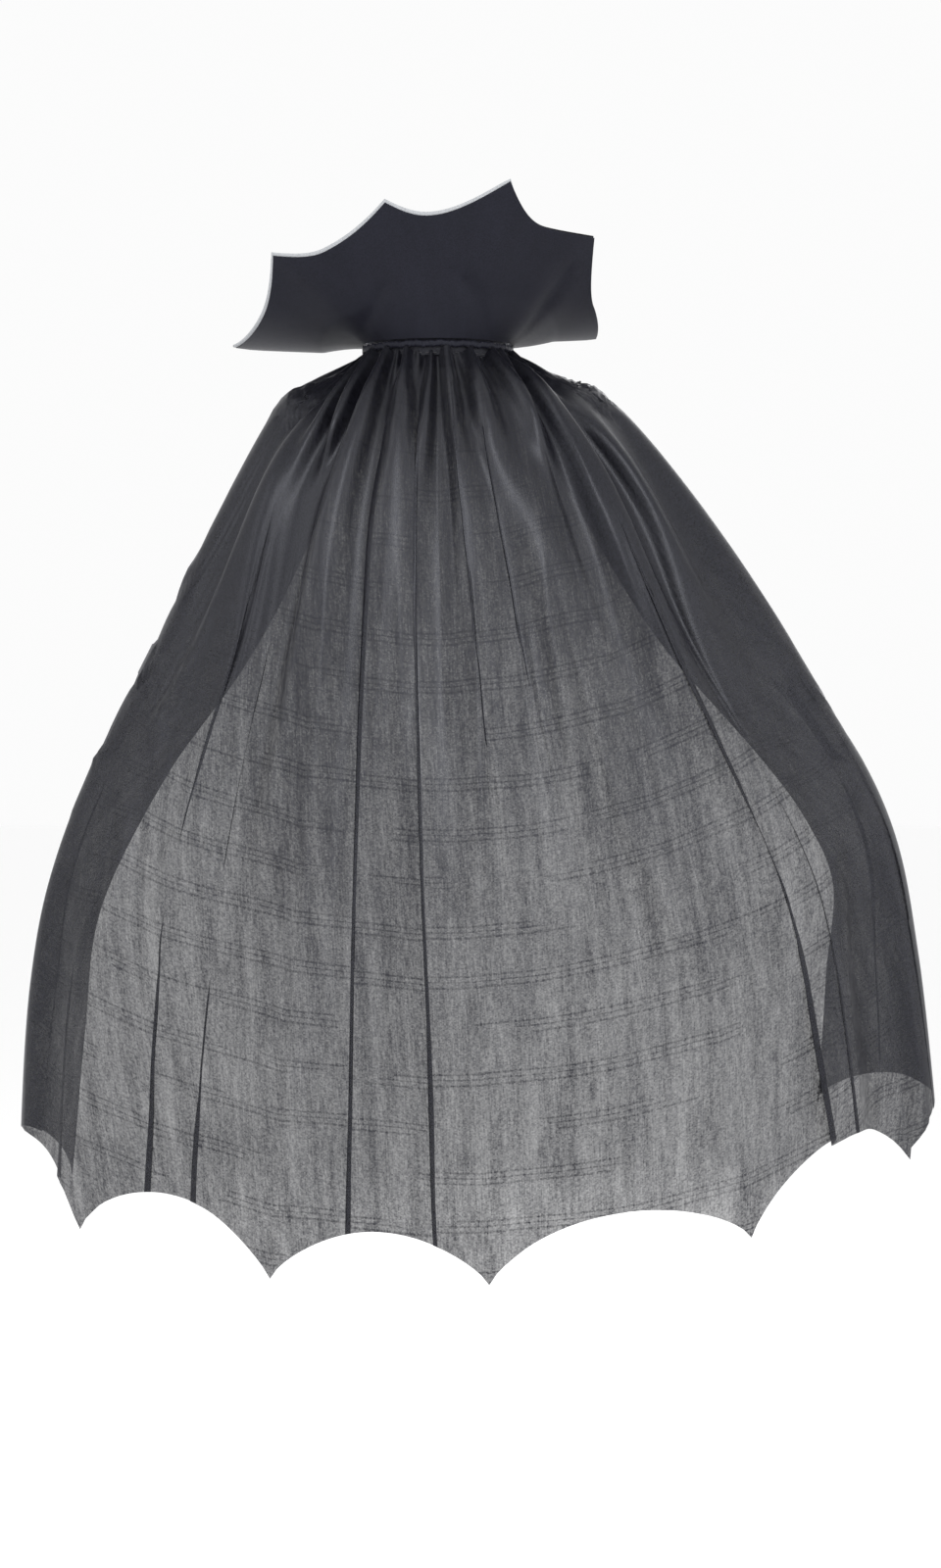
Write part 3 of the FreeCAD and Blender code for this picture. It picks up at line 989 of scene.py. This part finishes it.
# ---- neck pieces ----------------------------------------------------------------------------
def tape_radii():
    """Inner radii of the loop tape, the hook tape and the tab, from the band outwards."""
    loop = NECK_R + BAND_THICK + GLUE
    hook = loop + TAPE_THICK + TAPE_GAP
    tab = hook + TAPE_THICK + GLUE
    return loop, hook, tab


def edge_steps(low, high, count, rounding):
    """Even steps from low to high, with more of them near the two ends."""
    ends = np.array([0, 0.12, 0.3, 0.6, 1.0]) * rounding
    inside = np.linspace(low + rounding, high - rounding, count)[1:-1]
    return np.concatenate([low + ends, inside, high - ends[::-1]])


def tape(name, arc, radius, thick, height, material, body, slot, nodes, count=60, corner=0.0, dent=()):
    """A strip of tape bent round the neck, with rounded edges, corners and sewn dents."""
    degree = math.degrees(1 / radius)
    angles = edge_steps(arc[0], arc[1], count, 0.0006 * degree)
    heights = edge_steps(-height / 2, height / 2, 22, 0.0006)
    middle, out = ring_grid(angles, radius + thick / 2, heights)
    near = np.minimum(angles - arc[0], arc[1] - angles) / degree
    if corner:
        away = np.clip(1 - near / corner, 0, 1)
        narrow = 1 - (corner / (height / 2)) * (1 - np.sqrt(1 - away ** 2))
        middle[:, :, 2] = middle[:, :, 2] * narrow[None, :]
    shape = np.zeros(middle.shape[:2])
    for z in dent:
        shape = shape - thick * 0.14 * np.exp(-(((heights[:, None] - z) / 0.0005) ** 2))
    middle = middle + out * shape[:, :, None]
    uv = np.dstack([np.broadcast_to(np.radians(angles) * radius, shape.shape),
                    np.broadcast_to(heights[:, None], shape.shape)])
    return slab(name, middle, out, uv, thick, 0.0006, material, body, slot, *nodes)


def binding(material):
    """Rolled cloth over the seam: two soft ridges that wander a little."""
    angles = np.linspace(-SEWN_END, SEWN_END, 420)
    around = np.linspace(0, 2 * np.pi, 25)[:-1]
    a = np.radians(angles)
    radius = NECK_R + BAND_THICK + BINDING_R + 0.0001
    wave = 0.00035 * np.sin(a * 17 + 1) + 0.0003 * np.sin(a * 41) + 0.0002 * np.sin(a * 90 + 2)
    rings = []
    for i, angle in enumerate(a):
        pucker = 1 + 0.05 * math.sin(angle * 63) + 0.04 * math.sin(angle * 131 + 1)
        end = min(1.0, (0.35 + 4 * min(i, len(a) - 1 - i) / 20))
        lobes = BINDING_R * (0.80 + 0.20 * np.abs(np.sin(around)) ** 0.8) * pucker * end
        r = radius + lobes * np.cos(around) * 0.9
        z = wave[i] + lobes * np.sin(around) * 1.12
        rings.append(np.stack([r * math.sin(angle), -r * math.cos(angle), z], axis=1))
    grid = np.array(rings)
    rows, cols = grid.shape[:2]
    faces = [(i * cols + j, i * cols + (j + 1) % cols, (i + 1) * cols + (j + 1) % cols,
              (i + 1) * cols + j) for i in range(rows - 1) for j in range(cols)]
    faces += [tuple(range(cols))[::-1], tuple((rows - 1) * cols + j for j in range(cols))]
    obj = mesh_object("seam_binding", grid.reshape(-1, 3), faces)
    uv = np.dstack([np.broadcast_to((a * radius)[:, None], (rows, cols)),
                    np.broadcast_to(around[None, :] * BINDING_R, (rows, cols))])
    finish_piece(obj, uv.reshape(-1, 2), material, "cape", "collar_cloth", "neck_binding")
    return obj


def stitches(name, node, body, spots, material):
    """Short bent thread lengths. Each spot is a centre, a direction, an outward side, a length."""
    points, faces, uvs = [], [], []
    sides = 8
    for centre, along, out, length in spots:
        along = Vector(along).normalized()
        out = Vector(out).normalized()
        third = along.cross(out)
        first = len(points)
        stations = np.linspace(-1, 1, 9)
        for s in stations:
            sunk = -STITCH_R * 0.9 * abs(s) ** 3
            r = STITCH_R * math.sqrt(max(1 - abs(s) ** 8, 0.05))
            middle = Vector(centre) + along * (s * length / 2) + out * sunk
            for k in range(sides):
                turn = 2 * math.pi * k / sides
                points.append(middle + (out * math.cos(turn) + third * math.sin(turn)) * r)
                uvs.append((s * length / 2, turn * STITCH_R))
        for i in range(len(stations) - 1):
            for k in range(sides):
                p = first + i * sides + k
                q = first + i * sides + (k + 1) % sides
                faces.append((p, q, q + sides, p + sides))
        faces.append(tuple(first + k for k in reversed(range(sides))))
        faces.append(tuple(first + (len(stations) - 1) * sides + k for k in range(sides)))
    obj = mesh_object(name, points, faces)
    finish_piece(obj, np.array(uvs), material, body, "thread", node)
    return obj


def seam_spots():
    """The row of stitches low on the band, where the panel is sewn on."""
    radius = NECK_R + BAND_THICK + STITCH_R + 0.00009
    count = int(2 * (SEWN_END - 4) / STITCH_PITCH)
    spots = []
    for i in range(count + 1):
        angle = -SEWN_END + 4 + i * STITCH_PITCH
        spot = ring_point(angle, radius, -BAND_HEIGHT / 2 + 0.002)
        spots.append((spot, ring_point(angle + 90, 1, 0), ring_point(angle, 1, 0), 0.004))
    return spots


def box_spots():
    """The box of stitches on the tab's sewn-down end."""
    radius = tape_radii()[2] + TAB_THICK + STITCH_R * 0.6
    start = ANCHOR_ARC[0] + 2.5
    end = ANCHOR_ARC[1] - 2.5
    half = TAB_HEIGHT / 2 - 0.0025
    spots = []
    for z in (-half, half):
        for angle in (start + 1, end - 1):
            spot = ring_point(angle, radius, z)
            spots.append((spot, ring_point(angle + 90, 1, 0), ring_point(angle, 1, 0), 0.0032))
    for angle in (start - 1.2, end + 1.2):
        for z in (-half * 0.5, half * 0.5):
            spots.append((ring_point(angle, radius, z), (0, 0, 1), ring_point(angle, 1, 0), 0.0036))
    return spots


# ---- the scene ------------------------------------------------------------------------------
make_camera()
make_lights()
make_stage()
bpy.context.scene.view_settings.view_transform = "Standard"

SATIN = sheer_satin()
CLOTH = woven("collar_cloth", (0.002, 0.002, 0.004), (0.009, 0.009, 0.0155),
              rough=0.42, sheen=0.03, specular=0.22)
LINING = woven("collar_lining", (0.003, 0.003, 0.005), (0.012, 0.012, 0.017), rough=0.7, sheen=0.05)
TAPE = woven("black_tape", (0.006, 0.006, 0.008), (0.030, 0.030, 0.035), pitch=0.0011, rough=0.8)
LOOPS = pile("loop_pile", (0.006, 0.006, 0.007), (0.05, 0.05, 0.055), 2600, 0.0004)
HOOKS = pile("hook_pile", (0.008, 0.008, 0.009), (0.09, 0.09, 0.10), 1100, 0.0006)
THREAD = thread()

cape_cloth(SATIN)
collar_cloth("collar_back", "collar_face", CLOTH_SKIN, 1, CLOTH)
collar_foam(foam())
collar_cloth("collar_inside", "collar_lining",
             2 * FACE_THICK + CORE_THICK + 2 * LAYER_GAP - CLOTH_SKIN, -1, LINING)
binding(CLOTH)

loop_r, hook_r, tab_r = tape_radii()
tape("band", (-BAND_END, BAND_END), NECK_R, BAND_THICK, BAND_HEIGHT, TAPE,
     "cape", "black_tape", ["neck_band"], count=240, dent=(-0.0085, 0.0085))
tape("loop_tape", LOOP_ARC, loop_r, TAPE_THICK, TAPE_HEIGHT, LOOPS,
     "cape", "loop_tape", ["loop_strip"], count=30)
tape("anchor", ANCHOR_ARC, loop_r, tab_r + TAB_THICK - loop_r, TAB_HEIGHT, TAPE,
     "cape", "black_tape", ["tab_anchor"], count=24)
tape("hook_tape", HOOK_ARC, hook_r, TAPE_THICK, TAPE_HEIGHT, HOOKS,
     "tab", "hook_tape", ["hook_strip"], count=30)
tab = tape("tab", TAB_ARC, tab_r, TAB_THICK, TAB_HEIGHT, TAPE,
           None, "black_tape", ["closure_tab"], count=90, corner=0.004, dent=(-0.0066, 0.0066))
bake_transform(tab)
stitches("seam_thread", "neck_stitches", "cape", seam_spots(), THREAD)
stitches("tab_thread", "tab_stitches", "cape", box_spots(), THREAD)
